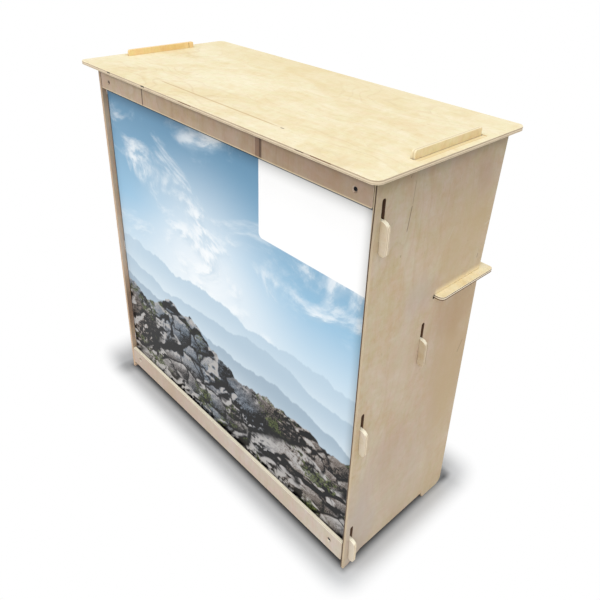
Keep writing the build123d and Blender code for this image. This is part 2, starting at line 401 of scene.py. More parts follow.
def layered_edge(tree, across, along, depth, t, layers, offset):
    """An edge of a board: t from 0 to 1 between the faces picks one of the five layers, with
    a thin glue line at each bound, and end grain speckle over all of them."""
    wood = bpy.context.scene.counter_plywood
    stops = [(0.0, (layers[0],) * 3)]
    for bound, before, after in zip(LAYER_BOUNDS, layers, layers[1:]):
        stops += [(bound - LAYER_BLUR, (before,) * 3), (bound + LAYER_BLUR, (after,) * 3)]
    layer = tree.grey(tree.ramp(t, stops))
    glue = 0.0
    for bound in LAYER_BOUNDS:
        glue = tree.larger(glue, tree.smooth(tree.absolute(tree.plus(t, -bound)), 0.022, 0.006))
    point = (across, along, depth)
    grain = tree.noise(tree.scaled(point, (420.0, 420.0, 900.0)), 3.0, 0.7)
    moved = {0: tree.scaled(point, (30.0, 30.0, 160.0)), 1: (offset,) * 3}
    broad = tree.noise(tree.node("VectorMath", moved).outputs[0], 2.0)
    shade = tree.plus(layer, tree.swing(grain, 0.45), tree.swing(broad, 0.55))
    shade = tree.math("MULTIPLY", shade, 1.0, clamp=True)
    colour = tree.blend(shade, wood.edge_dark, wood.edge_light)
    colour = tree.blend(tree.times(glue, 0.25), colour, wood.glue)
    relief = tree.plus(tree.times(grain, 0.9), tree.times(glue, -0.5), tree.times(layer, 0.4))
    return colour, relief


def between(tree, value, low, high, soft):
    """1 from low to high and 0 outside; its borders fade over the length called soft."""
    return tree.times(tree.smooth(value, low - soft, low), tree.smooth(value, high + soft, high))


def soft_spot(tree, across, along, centre, radii):
    """A soft ellipse: 1 at its centre and 0 past its radii, in millimetres. Its border is
    pushed in and out by a noise."""
    a = tree.times(tree.plus(across, -centre[0] * MM), 1.0 / (radii[0] * MM))
    b = tree.times(tree.plus(along, -centre[1] * MM), 1.0 / (radii[1] * MM))
    reach = tree.length(a, b)
    ragged = tree.noise(tree.spread(across, 24.0, along, 10.0), 3.0)
    return tree.smooth(tree.plus(reach, tree.swing(ragged, 0.7)), 1.05, 0.15)


PLAIN_LOOK = {
    "figure": 0.8, "lines": 0.5, "streak": 0.14, "silk": 0.62, "cloud": 0.42, "heart": 0.06,
    "mottle": 0.7, "blush": 0.4, "swirl": 1.8,
}
UPRIGHT_LOOK = {
    "figure": 0.4, "lines": 0.35, "streak": 0.12, "silk": 0.8, "cloud": 0.38, "heart": 0.22,
    "mottle": 0.9, "blush": 0.8, "swirl": 1.0,
}
RAIL_LOOK = {**UPRIGHT_LOOK, "streak": 0.5, "silk": 0.8, "lines": 0.8}
CALM_LOOK = {**UPRIGHT_LOOK, "silk": 0.4, "cloud": 0.25, "mottle": 0.6, "heart": 0.15}
LIGHT_CORE = (1.0, 0.15, 0.9, 0.4, 1.0)
FACE_DEPTHS = (0.1 * MM, 0.03 * MM)
ARRIS_DEPTHS = (0.6 * MM, 0.45 * MM)
RECESS_DEPTHS = (1.2 * MM, 1.05 * MM)
RIM_REACH = (6.2 * MM, 7.5 * MM)


def near_surface(tree, outward, half, depths):
    """0 deeper under a board's surface than the first depth and 1 above the second. Outward
    goes from 0 in the board's middle to 1 at its surface, and half is half its thickness."""
    return tree.smooth(outward, *(1.0 - depth / half for depth in depths))


def marked_face(tree, across, along, colour, zones, stripes, cracks_and_shade_lines):
    """A face's colour with its marks, all in millimetres across and along the grain. A zone is
    a soft spot with its centre and radii, a stripe runs along the whole face between two
    places across it, and a crack or a line of painted shade is a thin line with its ends and
    its width. Each ends with a colour's name and the share that the colour takes. Some zones,
    stripes and lines are painted shade or painted light, as said where they are given."""
    marks = []
    for *spot, kind, share in zones:
        marks.append((soft_spot(tree, across, along, *spot), kind, share))
    for start, end, kind, share in stripes:
        marks.append((between(tree, across, start * MM, end * MM, 1.5 * MM), kind, share))
    for *line, kind, share in cracks_and_shade_lines:
        marks.append((scratch(tree, across, along, *line), kind, share))
    for inside, kind, share in marks:
        paint = getattr(bpy.context.scene.counter_plywood, kind)
        colour = tree.blend(tree.times(inside, share), colour, paint)
    return colour


def marked_edge(tree, place, along, t, colour, voids, slots):
    """An edge's colour with its marks. Each of the voids is a gap or a darker place between two
    places along the grain, in millimetres, and two shares of the thickness. A slot is a pair of
    ranges, in metres, within which the walls take one colour of painted shade."""
    wood = bpy.context.scene.counter_plywood
    for start, end, t_low, t_high, kind in voids:
        inside = between(tree, along, start * MM, end * MM, 3 * MM)
        inside = tree.times(inside, between(tree, t, t_low, t_high, 0.04))
        colour = tree.blend(inside, colour, getattr(wood, kind))
    for ranges, kind in slots:
        inside = 0.97
        for axis, start, end in ranges:
            inside = tree.times(inside, between(tree, place[axis], start, end, 0.5 * MM))
        colour = tree.blend(inside, colour, getattr(wood, kind))
    return colour


def marked_holes(tree, place, colour, holes):
    """An edge's colour with painted shade in countersunk holes, given by their places and their
    radius: greyer walls, and a dark arc at each one's lower right."""
    wood = bpy.context.scene.counter_plywood
    for x, z, radius in holes:
        off_x, off_z = tree.plus(place[X], -x), tree.plus(place[Z], -z)
        reach = tree.length(off_x, off_z)
        wall = tree.smooth(reach, radius + MM, radius, 0.0, 0.8)
        colour = tree.blend(wall, colour, wood.painted_hole_shade)
        lower = tree.smooth(tree.minus(off_x, off_z), 2 * MM, 7 * MM, 0.0, 0.8)
        rim = tree.times(lower, between(tree, reach, *RIM_REACH, 0.6 * MM))
        colour = tree.blend(rim, colour, wood.glue)
    return colour


def with_painted_light_and_shade(tree, place, colour, painted_shades, painted_glows):
    """The colour with its painted shade and painted light. A painted shade darkens by its
    amount from a height up to an end, and fades out at its reach below the height. A painted
    glow does the opposite: it is palest at its height and fades out at its reach above it,
    between two places along Y."""
    painted_glow_colour = bpy.context.scene.counter_plywood.glow
    for height, reach, amount, end in painted_shades:
        hem = tree.smooth(place[Z], height - reach, height, 1.0, 1.0 - amount)
        colour = tree.dye(colour, tree.larger(hem, tree.smooth(place[Z], end, end + 0.2 * MM)))
    for height, reach, amount, span in painted_glows:
        rise = tree.smooth(place[Z], height - 0.5 * MM, height)
        hem = tree.times(rise, tree.smooth(place[Z], height + reach, height, 0.0, amount))
        hem = tree.times(hem, between(tree, place[Y], *span, 8 * MM))
        colour = tree.blend(hem, colour, painted_glow_colour)
    return colour


def dress(node, material):
    """Gives one CAD node its material."""
    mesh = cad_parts[node].data
    mesh.materials.clear()
    mesh.materials.append(material)


def plywood(
    node, name, thickness_axis, grain_axis, seed, look, layers=LIGHT_CORE, tint=WHITE, edge_tint=WHITE,
    zones=(), stripes=(), cracks_and_shade_lines=(), voids=(), slots=(), holes=(), painted_shades=(), painted_glows=(),
    painted_light_above=None, recess=None, lean=None, painted_top_light=0.0,
):
    """Dresses one board in birch plywood: veneer where a point lies on one of the two faces,
    the layers everywhere else, and a mix of both on the arris between them.

    The seed moves the patterns, and the look holds the veneer's strengths. Layers gives how
    light each of the five layers is. The faces' colour is multiplied by the tint, and the
    edges' by the edge tint; on the upright boards these hold painted shade as well as the
    board's own tone, and on the shelf painted light. Zones, stripes and crack lines mark the
    faces, voids, slots and holes the edges, and painted shade and painted light both; the
    slots' walls are painted shade. Painted light above is a height and the brighter tint of
    the painted light on the wood above it. Recess is a range, in metres from the middle along
    the grain, where ground 1 mm under the upper face still shows face veneer. Lean is two
    heights and a share of the thickness: the layers have shifted by that share below the
    first height, and not at all above the second. Painted top light is how much paler, as
    painted light, the edges that face up are."""
    wood = bpy.context.scene.counter_plywood
    tree = Tree(bpy.data.materials.new(name))
    place = tree.place()
    across_axis = X + Y + Z - thickness_axis - grain_axis
    across, along, depth = place[across_axis], place[grain_axis], place[thickness_axis]
    low, high = (corner[thickness_axis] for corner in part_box(node))
    middle, half = (low + high) / 2, (high - low) / 2
    offset = seed * 3.7
    u, v = tree.plus(across, offset), tree.plus(along, offset * 0.7)
    face, relief = rotary_veneer(tree, u, v, offset, look)
    face = marked_face(tree, across, along, face, zones, stripes, cracks_and_shade_lines)

    depth_share = tree.times(tree.plus(depth, -middle), 1.0 / half)
    wobble = tree.noise(tree.spread(across, 38.0, along, 38.0, offset), 2.0)
    t = tree.plus(tree.times(depth_share, 0.5), 0.5, tree.swing(wobble, 0.05))
    if lean:
        t = tree.plus(t, tree.smooth(place[Z], lean[1], lean[0], 0.0, lean[2]))
    edge, edge_relief = layered_edge(tree, across, along, depth, t, layers, offset)
    edge = marked_edge(tree, place, along, t, edge, voids, slots)
    # Painted light: above the height the wood takes the brighter tint and paler edges of a lit face.
    if painted_light_above:
        above = tree.smooth(place[Z], painted_light_above[0] - MM, painted_light_above[0])
        tint = tree.blend(above, tint, painted_light_above[1])
        edge_tint = tree.blend(above, edge_tint, painted_light_above[1])
        edge = tree.blend(tree.times(above, 0.6), edge, wood.edge_light)

    outward = tree.absolute(depth_share)
    on_face = near_surface(tree, outward, half, FACE_DEPTHS)
    if recess:
        sunk = between(tree, tree.absolute(along), *recess, 0.2 * MM)
        sunk = tree.times(sunk, near_surface(tree, depth_share, half, RECESS_DEPTHS))
        on_face = tree.larger(on_face, sunk)
    edge, face = tree.dye(edge, edge_tint), tree.dye(face, tint)
    arris = near_surface(tree, outward, half, ARRIS_DEPTHS)
    edge = tree.blend(tree.times(arris, 0.7), edge, face)
    edge = marked_holes(tree, place, edge, holes)
    # Painted light: the edges that face up are made paler.
    if painted_top_light:
        normal = tree.node("SeparateXYZ", {0: tree.node("TexCoord").outputs["Normal"]}).outputs
        edge = tree.blend(tree.smooth(normal[Z], 0.3, 0.8, 0.0, painted_top_light), edge, wood.painted_top_light)
    dress(node, tree.principled(
        Base_Color=with_painted_light_and_shade(tree, place, tree.blend(on_face, edge, face), painted_shades, painted_glows),
        Roughness=tree.plus(wood.roughness, tree.times(relief, 0.12), -0.05),
        Specular_IOR_Level=0.35,
        Normal=tree.bump(tree.mix(on_face, edge_relief, relief), 0.12 * MM),
    ))


def slot_of(board, across_axis, along_axis, colour, play=2 * MM):
    """Where a board passes through another: its ranges along two axes, each with some play,
    and the colour of the painted shade on the slot's walls."""
    low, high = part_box(board)
    ranges = [(axis, low[axis] - play, high[axis] + play) for axis in (across_axis, along_axis)]
    return ranges, colour


TOP_CRACKS_AND_SHADE = (
    ((-176, -222), (-177, 232), 3.2, "late_wood", 0.8),
    ((-178, 226), (-177, 236), 2.6, "glue", 0.8),
    # Painted shade in the recesses beside the tabs: a line along each outer wall, a warmer band over
    # each floor, and a line at the right recess's rear end.
    ((-112, -509.6), (111, -509.6), 2.2, "late_wood", 0.9),
    ((-112, 509.6), (111, 509.6), 2.2, "late_wood", 0.9),
    ((-114, -505), (113, -505), 7.0, "veneer_warm", 0.6),
    ((-114, 505), (113, 505), 7.0, "veneer_warm", 0.6),
    ((108.5, 498), (108.5, 512), 1.6, "brown_wood", 0.9),
)
TOP_VOIDS = (
    (-372, -360, 0.55, 0.80, "void"), (-208, -196, 0.55, 0.85, "void"),
    (-50, -4, 0.62, 0.84, "edge_dark"), (330, 350, 0.66, 0.80, "glue"),
    (370, 420, 0.66, 0.86, "edge_dark"),
)


class COUNTER_OT_top_panel(bpy.types.Operator):
    """Finish the top: pale veneer with its grain along the counter"""

    bl_idname = "counter.top_panel"
    bl_label = "Top panel"

    def execute(self, context):
        plywood(
            "top_panel", "top_veneer", Z, X, 1.0, PLAIN_LOOK, layers=(0.95, 0.6, 1.0, 0.45, 0.95),
            tint=(1.01, 1.026, 1.015), edge_tint=(0.87, 0.82, 0.76), recess=(0.488, 0.5115),
            zones=(((200, -60), (150, 700), "veneer_warm", 0.4),), cracks_and_shade_lines=TOP_CRACKS_AND_SHADE, voids=TOP_VOIDS,
        )
        return {"FINISHED"}


RIGHT_CRACKS = (
    ((-91, 998), (-95, 948), 1.0, "glue", 0.45), ((-95, 948), (-103, 893), 1.5, "glue", 0.7),
    ((178, 507), (162, 473), 1.4, "glue", 0.6), ((-107, 1011), (-109, 1006), 1.6, "glue", 0.55),
    ((-112, 849), (-114, 844), 1.6, "glue", 0.5), ((176, 748), (174, 736), 1.6, "glue", 0.6),
    ((182, 817), (206, 823), 3.0, "veneer_pale", 0.5), ((61, 855), (44, 826), 2.0, "veneer_pale", 0.4),
    ((120, 800), (60, 700), 0.8, "veneer_pale", 0.25),
)
# The brown zone 620 mm up, below the shelf's tab, is browner wood and painted shade under the shelf.
RIGHT_ZONES_AND_SHADE = (
    ((-70, 300), (90, 120), "heartwood", 0.30), ((130, 450), (110, 300), "brown_wood", 0.50),
    ((150, 940), (60, 70), "heartwood", 0.45), ((110, 850), (150, 190), "brown_wood", 0.20),
    ((-60, 560), (70, 150), "veneer_pale", 0.3), ((60, 60), (230, 110), "veneer_warm", 0.30),
    ((-20, 720), (80, 70), "grey_wood", 0.35), ((140, 400), (120, 420), "veneer_warm", 0.6),
    ((100, 810), (200, 170), "veneer_warm", 0.5), ((110, 620), (120, 110), "brown_wood", 0.42),
    ((-20, 180), (200, 260), "grey_wood", 0.25), ((-160, 110), (90, 260), "grey_wood", 0.5),
)
# Painted reflection and shade on the strip of the left panel's inner face beside the sheet: paler in
# the middle, darker low down and a little darker near the top.
LEFT_PAINTED_REFLECTION_AND_SHADE = (
    ((-190, 480), (26, 110), "veneer_pale", 1.0), ((-190, 960), (26, 60), "painted_shade_brown", 0.15),
    ((-190, 250), (26, 130), "painted_shade_brown", 0.55),
)


class COUNTER_OT_side_panels(bpy.types.Operator):
    """Finish the two side panels: upright grain, pinker and browner low down"""

    bl_idname = "counter.side_panels"
    bl_label = "Side panels"

    def execute(self, context):
        underside, top_face = (corner[Z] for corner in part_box("top_panel"))
        shared = {
            # Painted shade on the walls of the slots.
            "slots": (
                slot_of("front_board", Y, Z, "painted_shade_brown"),
                slot_of("cross_board", Y, Z, "painted_shade_brown"),
                slot_of("shelf", Z, Y, "void"),
            ),
            # Painted shade under the top's overhang, and painted light on the panels just above the
            # shelf's tabs.
            "painted_shades": ((underside, 0.045, 0.40, underside), (underside, 0.24, 0.20, underside)),
            "painted_glows": ((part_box("shelf")[1][Z], 0.018, 0.92, (0.03, 0.3)),),
        }
        # The darker tints hold painted shade as well as the panels' own tone; the tint above the top's
        # face is painted light on the tabs.
        plywood(
            "right_side_panel", "right_panel_veneer", X, Z, 2.0, UPRIGHT_LOOK,
            layers=(0.95, 0.95, 0.25, 0.95, 0.95), tint=(0.695, 0.65, 0.675),
            edge_tint=(0.64, 0.575, 0.50), painted_light_above=(top_face, (1.0, 0.985, 0.87)),
            lean=(0.86, 1.0, 0.26), zones=RIGHT_ZONES_AND_SHADE, cracks_and_shade_lines=RIGHT_CRACKS,
            voids=((0, 1031, 0.36, 0.58, "glue"),), **shared,
        )
        plywood(
            "left_side_panel", "left_panel_veneer", X, Z, 3.0, UPRIGHT_LOOK,
            layers=(0.9, 0.3, 0.7, 0.6, 0.9), tint=(0.66, 0.57, 0.60), edge_tint=(0.90, 0.74, 0.64),
            painted_light_above=(top_face, (1.1, 0.94, 0.66)), zones=LEFT_PAINTED_REFLECTION_AND_SHADE,
            cracks_and_shade_lines=(((89, 1034), (89, 1058), 1.2, "glue", 0.7),), **shared,
        )
        return {"FINISHED"}


class COUNTER_OT_front_board(bpy.types.Operator):
    """Finish the front board, which shows its hooks at the sides and its back"""

    bl_idname = "counter.front_board"
    bl_label = "Front board"

    def execute(self, context):
        # The darker tint holds painted shade as well as the board's own tone. Painted top light pales
        # its upward edges and the low hook's face past the right panel, and the near-black stripes at
        # its ends are painted shade in the gaps beside the side panels.
        plywood(
            "front_board", "front_board_veneer", Y, X, 4.0, PLAIN_LOOK,
            layers=(1.0, 0.45, 1.0, 0.5, 1.0), tint=(0.765, 0.745, 0.82), edge_tint=(1.0, 0.97, 0.93),
            painted_top_light=0.85, stripes=((-496, -487, "void", 0.85), (487, 496, "void", 0.85)),
            zones=(((60, 508), (170, 80), "painted_top_light", 0.5),),
        )
        return {"FINISHED"}


SCREW_HEAD_RADIUS = 4.6 * MM
HOLE_REACH = 9 * MM
# At the rail's left end, painted shade of the gap and a painted highlight on the arris beside it; the
# other stripes are dark lines.
RAIL_STRIPES_AND_PAINTED_LIGHT = (
    (-492, -486, "painted_shade_brown", 0.75), (-484, -481, "veneer_pale", 0.5), (-276, -273, "glue", 0.85),
    (171, 185, "edge_dark", 0.7), (184, 190, "glue", 0.8),
)


def screw_holes(rail):
    """The places and the reach of the countersunk holes in one rail. The screws' common box
    ends a head's radius outside their middles, and each rail takes the pair at its height."""
    low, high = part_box("rail_screws")
    lower, upper = low[Z] + SCREW_HEAD_RADIUS, high[Z] - SCREW_HEAD_RADIUS
    x = high[X] - SCREW_HEAD_RADIUS
    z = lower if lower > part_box(rail)[0][Z] else upper
    return [(side * x, z, HOLE_REACH) for side in (-1, 1)]


class COUNTER_OT_rails(bpy.types.Operator):
    """Finish the two rails, cut with their grain upright"""

    bl_idname = "counter.rails"
    bl_label = "Rails"

    def execute(self, context):
        underside, rail_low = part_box("top_panel")[0][Z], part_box("top_rail")[0][Z]
        # The rails' darker tints hold painted shade as well as their own tone. Painted shade darkens
        # the top rail under the top, and a painted highlight pales its lower edge.
        plywood(
            "top_rail", "top_rail_veneer", Y, Z, 5.0, RAIL_LOOK, tint=(0.62, 0.545, 0.59),
            zones=(((450, 1000), (760, 400), "edge_dark", 0.34),), stripes=RAIL_STRIPES_AND_PAINTED_LIGHT,
            painted_glows=((rail_low, 0.004, 0.6, (-1.0, 1.0)),), holes=screw_holes("top_rail"),
            painted_shades=((underside - 0.013, 0.016, 0.55, underside),),
        )
        # Painted top light pales the bottom rail's upward edges.
        plywood(
            "bottom_rail", "bottom_rail_veneer", Y, Z, 6.0, CALM_LOOK, tint=(0.70, 0.69, 0.86),
            zones=(((-260, 35), (380, 160), "brown_wood", 0.36),), holes=screw_holes("bottom_rail"),
            painted_top_light=0.6,
        )
        return {"FINISHED"}


class COUNTER_OT_shelf(bpy.types.Operator):
    """Finish the shelf, whose tabs pass through the side panels"""

    bl_idname = "counter.shelf"
    bl_label = "Shelf"

    def execute(self, context):
        # The tints above one are painted light: they brighten the shelf past its own tone.
        plywood(
            "shelf", "shelf_veneer", Z, X, 7.0, PLAIN_LOOK, layers=(0.3, 0.0, 1.0, 0.0, 1.0),
            tint=(1.1, 1.09, 1.04), edge_tint=(1.1, 1.08, 1.06),
            voids=((440, 530, 0.66, 0.84, "glue"), (440, 530, 0.04, 0.30, "glue")),
        )
        return {"FINISHED"}


class COUNTER_OT_cross_board(bpy.types.Operator):
    """Finish the cross board at mid depth"""

    bl_idname = "counter.cross_board"
    bl_label = "Cross board"

    def execute(self, context):
        # The darker tints hold painted shade as well as the board's own tone; the dark last layer is
        # painted shade along the edges' +Y side, where the hook's end meets the panel behind it;
        # painted top light pales its upward edges.
        plywood(
            "cross_board", "cross_board_veneer", Y, X, 8.0, PLAIN_LOOK,
            layers=(1.0, 0.55, 1.0, 0.6, 0.1), tint=(0.70, 0.665, 0.70), edge_tint=(0.76, 0.70, 0.64),
            painted_top_light=0.85,
        )
        return {"FINISHED"}


def ridge(tree, x, height, base, swing, waves, seed, softness):
    """1 below a hill's outline and 0 above it. The outline is base + swing (noise(waves x) -
    1/2), with a finer noise of a third of the size on top."""
    broad = tree.noise(tree.vector(tree.times(x, waves), seed), 2.0)
    small = tree.noise(tree.vector(tree.times(x, waves * 5.0), seed + 3.0), 4.0, 0.6)
    outline = tree.plus(base, tree.swing(broad, swing), tree.swing(small, swing * 0.3))
    return tree.smooth(tree.minus(outline, height), -softness, softness)


def cloud_cover(tree, x, height):
    """How much cloud covers the printed sky: a fine noise plus 0.8 of a slow one, which holds
    the clouds together in banks. Below 0.88 the sky is clear and above 1.16 it is covered."""
    drift = tree.noise(tree.spread(x, 4.6, height, 6.6, 3.0), 8.0, 0.6, 0.5)
    banks = tree.noise(tree.spread(x, 2.1, height, 3.0, 21.0), 3.0, 0.5)
    return tree.smooth(tree.plus(drift, tree.times(banks, 0.8)), 0.88, 1.16)


BOULDER_CELLS = (3.6, 5.4)
PEBBLE_CELLS = (11.0, 16.0)


def domes(tree, x, height, warp, per_x, per_height):
    """One layer of stones at one point: its height 1 - 1.2 d d, with d the distance from the
    middle of a warped cell pattern's cell, the stone's own tone, and its distance from a
    crevice, from 0 in it to 1 on the stone."""
    spot = tree.vector(
        tree.plus(tree.times(x, per_x), tree.times(warp, 1.3)),
        tree.plus(tree.times(height, per_height), tree.times(warp, 1.6)),
    )
    cells = tree.cells(spot)
    rise = tree.plus(1.0, tree.times(tree.times(cells["Distance"], cells["Distance"]), -1.2))
    tone = tree.grey(cells["Color"])
    crevice = tree.smooth(tree.cells(spot, "DISTANCE_TO_EDGE")[0], 0.0, 0.09)
    return rise, tone, crevice


def stones(tree, x, height):
    """The printed ground at one point: its height, the stones' tones and its crevices.
    Boulders and small stones share the ground by a slow noise. Boulders rise to 1.3 and
    small stones to 0.4, and a rough noise of 0.1 lies on both."""
    warp = tree.noise(tree.spread(x, 8.0, height, 8.0, 4.0), 4.0, 0.6)
    boulder, boulder_tone, boulder_crevice = domes(tree, x, height, warp, *BOULDER_CELLS)
    pebble, pebble_tone, pebble_crevice = domes(tree, x, height, warp, *PEBBLE_CELLS)
    slow = tree.noise(tree.spread(x, 3.2, height, 4.6, 31.0), 3.0, 0.6)
    small = tree.smooth(slow, 0.50, 0.56)
    rough = tree.noise(tree.spread(x, 26.0, height, 26.0), 8.0, 0.70)
    top = tree.mix(small, tree.times(boulder, 1.3), tree.times(pebble, 0.4))
    tone = tree.mix(small, boulder_tone, pebble_tone)
    crevice = tree.mix(small, boulder_crevice, pebble_crevice)
    return tree.plus(top, tree.times(rough, 0.10)), tone, crevice


UNDER_RAIL, BESIDE_PANEL = 45 * MM, 35 * MM
TOP_LINE, LEFT_LINE = (10.5 * MM, 9.5 * MM), (4.5 * MM, 3 * MM)


def sheet_shade(tree, place, colour, left):
    """Darkens the sheet where the wood beside it keeps the light off: towards the top rail and
    towards the right side panel. A thin dark line lies along the sheet's left edge, and one
    where the top rail starts to hide it."""
    rail_low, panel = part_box("top_rail")[0][Z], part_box("right_side_panel")[0][X]
    under = tree.smooth(place[Z], rail_low - UNDER_RAIL, rail_low, 1.0, 0.68)
    beside = tree.smooth(place[X], panel - BESIDE_PANEL, panel, 1.0, 0.70)
    colour = tree.dye(colour, tree.times(under, beside))
    top_line = tree.smooth(place[Z], *(rail_low - drop for drop in TOP_LINE), 0.0, 0.8)
    left_line = tree.smooth(place[X], *(left + gap for gap in LEFT_LINE), 0.0, 0.8)
    line = tree.larger(top_line, left_line)
    return tree.blend(line, colour, bpy.context.scene.counter_print.shade)


HILLS = ((0.49, 0.20, 2.9, 2.0, 0.0), (0.41, 0.20, 2.3, 8.0, 0.15), (0.33, 0.20, 2.7, 15.0, 0.5))
MIST_DEPTH = 0.20


def printed_sky(tree, x, height):
    """The printed sky with a glow, clouds and three ridges in mist. A cloud's light is its
    cover less the cover a small step towards the upper left. Each ridge in HILLS has its
    base, its swing, its waves per metre, its seed and how dark it is."""
    ink = bpy.context.scene.counter_print
    sky = tree.ramp(height, ((0.36, ink.sky_low), (0.66, ink.sky_mid), (0.98, ink.sky_high)))
    glow = tree.length(tree.plus(x, 0.06), tree.plus(height, -0.55))
    sky = tree.blend(tree.smooth(glow, 0.42, 0.0, 0.0, 0.75), sky, ink.cloud)
    cover = cloud_cover(tree, x, height)
    beyond = cloud_cover(tree, tree.plus(x, -0.012), tree.plus(height, 0.014))
    lit = tree.smooth(tree.minus(cover, beyond), -0.28, 0.22)
    cloud = tree.blend(lit, ink.far_hill, ink.cloud)
    colour = tree.blend(tree.times(cover, 0.85), sky, cloud)
    for base, swing, waves, seed, darkness in HILLS:
        inside = ridge(tree, x, height, base, swing, waves, seed, 0.004)
        hill = tree.blend(darkness, ink.far_hill, ink.near_hill)
        misty = tree.blend(tree.smooth(height, base, base - MIST_DEPTH), hill, ink.sky_low)
        colour = tree.blend(tree.times(inside, 0.92), colour, misty)
    return colour


def printed_ground(tree, x, height):
    """The printed stony ground with moss. Its light is 0.42 plus its slope towards the upper
    left, the stones' own tones and a fine speckle."""
    ink = bpy.context.scene.counter_print
    top, tone, crevice = stones(tree, x, height)
    beyond = stones(tree, tree.plus(x, -0.004), tree.plus(height, 0.005))[0]
    slope = tree.times(tree.minus(top, beyond), 15.0)
    speckle = tree.noise(tree.spread(x, 300.0, height, 300.0), 3.0, 0.8)
    lit = tree.plus(0.42, slope, tree.swing(tone, 0.3), tree.swing(speckle, 3.4))
    cool = tree.noise(tree.spread(x, 1.9, height, 2.6, 41.0), 2.0)
    stone = tree.blend(tree.smooth(cool, 0.42, 0.58), ink.stone_mid, ink.stone_blue)
    ground = tree.blend(tree.smooth(lit, 0.45, -0.1), stone, ink.stone_dark)
    ground = tree.blend(tree.smooth(lit, 0.45, 1.4), ground, ink.stone_light)
    growth = tree.noise(tree.spread(x, 7.0, height, 9.0, 51.0), 6.0, 0.75)
    leaves = tree.noise(tree.spread(x, 150.0, height, 150.0, 5.0), 3.0, 0.7)
    green = tree.blend(tree.smooth(leaves, 0.40, 0.64), ink.stone_dark, ink.moss)
    ground = tree.blend(tree.smooth(growth, 0.56, 0.60, 0.0, 0.9), ground, green)
    return tree.blend(crevice, ink.stone_dark, ground)


FIELD_LEFT = 165 * MM
FIELD_BOTTOM = 0.774
FIELD_CORNER = 12 * MM


def printed_design():
    """The generic print: sky and ridges above, stony ground below, and a blank field at the
    upper right with one rounded corner. Height runs from 0 to 1 up the sheet."""
    ink = bpy.context.scene.counter_print
    tree = Tree(bpy.data.materials.new("print_film"))
    place = tree.place()
    (left, _, foot), (_, _, head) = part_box("printed_sheet")
    x, tall = place[X], head - foot
    height = tree.times(tree.plus(place[Z], -foot), 1.0 / tall)
    inside = ridge(tree, x, height, 0.28, 0.40, 1.9, 21.0, 0.003)
    colour = tree.blend(inside, printed_sky(tree, x, height), printed_ground(tree, x, height))
    past_x = tree.positive(tree.minus(FIELD_LEFT + FIELD_CORNER, x))
    past_z = tree.positive(tree.minus(foot + tall * FIELD_BOTTOM + FIELD_CORNER, place[Z]))
    field = tree.smooth(tree.length(past_x, past_z), FIELD_CORNER + MM, FIELD_CORNER - MM)
    colour = sheet_shade(tree, place, tree.blend(field, colour, ink.blank), left)

    grain = tree.noise(tree.spread(x, 900.0, place[Z], 900.0), 2.0)
    wave = tree.noise(tree.spread(x, 3.0, place[Z], 3.0), 1.0)
    return tree.principled(
        Base_Color=colour,
        Roughness=tree.plus(ink.gloss, tree.swing(grain, 0.08)),
        Specular_IOR_Level=0.12,
        Normal=tree.bump(tree.plus(tree.times(grain, 0.01), wave), 1.5 * MM, 0.5),
    )


class COUNTER_OT_printed_sheet(bpy.types.Operator):
    """Print a generic sky, hills and stony ground, with a blank field at one side"""

    bl_idname = "counter.printed_sheet"
    bl_label = "Printed sheet"

    def execute(self, context):
        dress("printed_sheet", printed_design())
        return {"FINISHED"}


def fixing_finish(name, colour, metallic, roughness, relief):
    """A small part's finish: a fine grain, and smears that are paler and rougher."""
    tree = Tree(bpy.data.materials.new(name))
    place = tree.place()
    grain = tree.noise(tree.scaled(place, (900.0,) * 3), 3.0, 0.6)
    smear = tree.noise(tree.scaled(place, (240.0,) * 3), 2.0)
    worn = tuple(min(1.0, c * 1.6 + 0.02) for c in colour)
    return tree.principled(
        Base_Color=tree.blend(tree.smooth(smear, 0.45, 0.75), tuple(colour), worn),
        Metallic=metallic,
        Roughness=tree.plus(roughness, tree.swing(smear, 0.25)),
        Normal=tree.bump(grain, relief * MM),
    )


class COUNTER_OT_rail_fixings(bpy.types.Operator):
    """Finish the rail screws, their spacers and their nuts"""

    bl_idname = "counter.rail_fixings"
    bl_label = "Rail fixings"

    def execute(self, context):
        fixings = context.scene.counter_fixings
        dress("rail_screws", fixing_finish("black_steel", fixings.black_oxide, 0.8, 0.42, 0.02))
        dress("rail_nuts", fixing_finish("zinc_plate", fixings.zinc, 1.0, 0.34, 0.02))
        dress("rail_spacers", fixing_finish("black_nylon", fixings.nylon, 0.0, 0.5, 0.04))
        return {"FINISHED"}


# These numbers shape the floor's painted shadow: it darkens the floor near the counter by a formula of
# the distance from its footprint and walls.
FAR_SIDE_SHARE, BEHIND_SHARE = 0.46, 0.66
CONTACT_BLACK, CONTACT_LEVEL = 0.03, 0.545
DEEP_INSIDE = 0.16
SHADOW_TINT = (0.945, 0.967, 0.996)


def contact_level(tree, x, y, from_side, half, back):
    """How bright the painted contact shadow is where it ends, outside the walls: its level, a
    little more past the right panel and behind the back, and less past the left panel, most of
    all close to it, and in a narrow hem behind the feet."""
    beside = tree.plus(
        tree.smooth(x, half - 0.02, half + 0.01, 0.0, 0.06),
        tree.smooth(x, -half + 0.05, -half - 0.005, 0.0, -0.20),
        tree.smooth(x, -half - 0.018, -half - 0.04, 0.0, 0.13),
    )
    hem = tree.smooth(y, back - 0.04, back, 0.0, -0.25)
    for value, end, full in ((y, back + 0.034, back + 0.013), (from_side, 0.016, -0.002)):
        hem = tree.times(hem, tree.smooth(value, end, full))
    behind = tree.smooth(y, back, back + 0.034, 0.0, 0.08)
    return tree.plus(CONTACT_LEVEL, beside, hem, behind)


